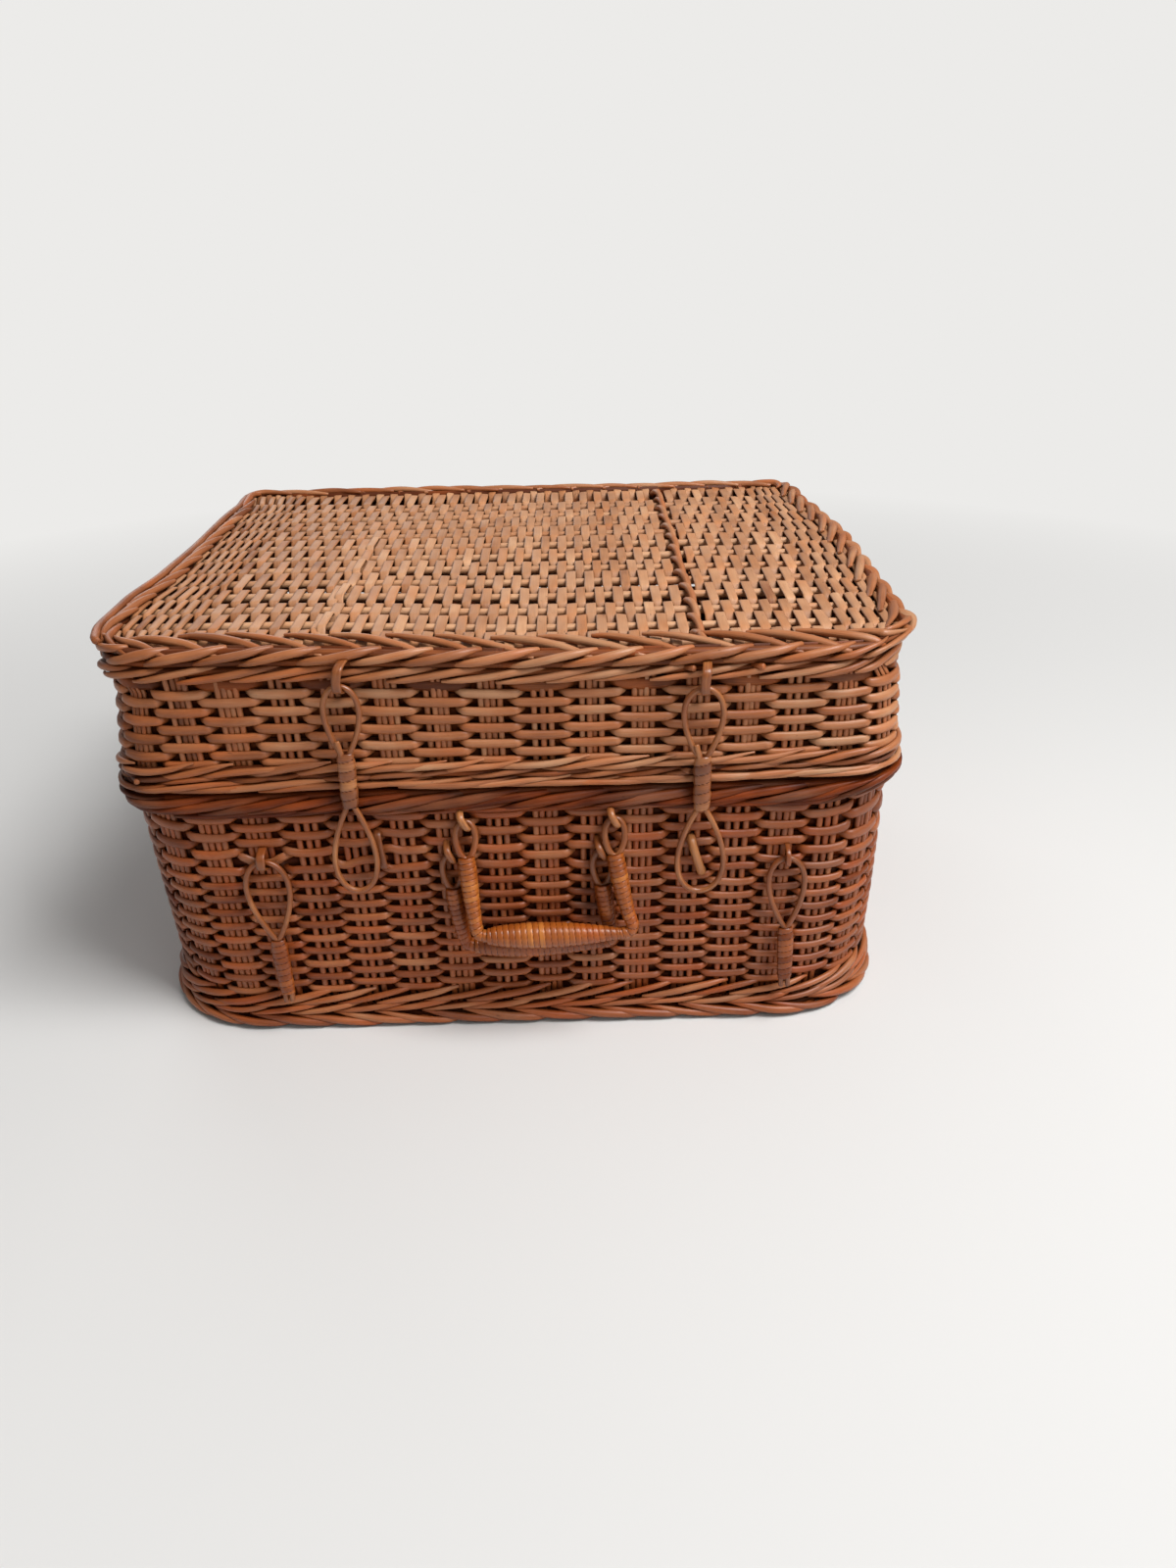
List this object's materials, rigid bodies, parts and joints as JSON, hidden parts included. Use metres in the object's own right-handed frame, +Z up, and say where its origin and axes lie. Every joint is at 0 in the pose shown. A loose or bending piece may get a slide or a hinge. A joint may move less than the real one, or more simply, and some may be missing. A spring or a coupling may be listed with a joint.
{
  "type": "woven wicker hamper basket with hinged lid",
  "caption": "Rectangular wicker hamper with rounded corners, a hinged woven lid, cane hasps, hanging locking pegs and a pair of swinging wrapped carrying handles on its front.",
  "frame": {"origin": "middle of the flat underside of the base, on the surface that the basket stands on", "axes": "+Z up, +X to the right seen from the front, front with hasps and handles towards -Y"},
  "size_m": [0.411, 0.3789, 0.2233],
  "materials": {
    "body_willow": "buff willow, satin, reddish brown",
    "lid_willow": "buff willow, satin, honey brown",
    "peeled_willow": "split willow strips, matte, pale",
    "cane": "round cane, satin",
    "cane_wrap": "flat cane wrapping, varnished, orange brown"
  },
  "bodies": {
    "body": {"base_panel": "peeled_willow", "foot_border": "body_willow", "foot_wale": "body_willow", "body_wall": "body_willow", "body_top_border": "body_willow", "hinge_ring_left": "cane", "hinge_ring_right": "cane", "peg_left_staple": "cane", "peg_right_staple": "cane", "handle_outer_staple_left": "cane", "handle_outer_staple_right": "cane", "handle_inner_staple_left": "cane", "handle_inner_staple_right": "cane", "hasp_left_catch": "cane", "hasp_right_catch": "cane"},
    "lid": {"lid_bottom_border": "lid_willow", "lid_wall": "lid_willow", "lid_top_border": "lid_willow", "lid_panel": "peeled_willow", "hasp_left_staple": "cane", "hasp_right_staple": "cane"},
    "hasp_left": {"hasp_left_loop": "cane", "hasp_left_binding": "cane_wrap"},
    "hasp_right": {"hasp_right_loop": "cane", "hasp_right_binding": "cane_wrap"},
    "peg_left": {"peg_left_loop": "cane", "peg_left_binding": "cane_wrap"},
    "peg_right": {"peg_right_loop": "cane", "peg_right_binding": "cane_wrap"},
    "handle_outer": {"handle_outer_frame": "cane", "handle_outer_leg_wrap_left": "cane_wrap", "handle_outer_leg_wrap_right": "cane_wrap", "handle_outer_grip": "cane_wrap"},
    "handle_inner": {"handle_inner_frame": "cane", "handle_inner_leg_wrap_left": "cane_wrap", "handle_inner_leg_wrap_right": "cane_wrap", "handle_inner_grip": "cane_wrap"}
  },
  "joints": [
    {"name": "lid_hinge", "type": "hinge", "parent": "body", "child": "lid", "pos_m": [0, 0.171, 0.14515], "axis": [-1, 0, 0], "range_deg": [0, 105]},
    {"name": "hasp_left_swing", "type": "hinge", "parent": "lid", "child": "hasp_left", "pos_m": [-0.0775, -0.1737, 0.204], "axis": [-1, 0, 0], "range_deg": [0, 170]},
    {"name": "hasp_right_swing", "type": "hinge", "parent": "lid", "child": "hasp_right", "pos_m": [0.0955, -0.1737, 0.199], "axis": [-1, 0, 0], "range_deg": [0, 170]},
    {"name": "peg_left_swing", "type": "hinge", "parent": "body", "child": "peg_left", "pos_m": [-0.1285, -0.169, 0.106], "axis": [-1, 0, 0], "range_deg": [0, 140]},
    {"name": "peg_right_swing", "type": "hinge", "parent": "body", "child": "peg_right", "pos_m": [0.142, -0.169, 0.101], "axis": [-1, 0, 0], "range_deg": [0, 140]},
    {"name": "handle_outer_swing", "type": "hinge", "parent": "body", "child": "handle_outer", "pos_m": [0.0145, -0.169, 0.127], "axis": [-1, 0, 0], "range_deg": [0, 125]},
    {"name": "handle_inner_swing", "type": "hinge", "parent": "body", "child": "handle_inner", "pos_m": [0.00425, -0.169, 0.108], "axis": [-1, 0, 0], "range_deg": [0, 125]}
  ],
  "couplings": [
    {"joint": "handle_inner_swing", "follows": "handle_outer_swing", "ratio": 1}
  ]
}
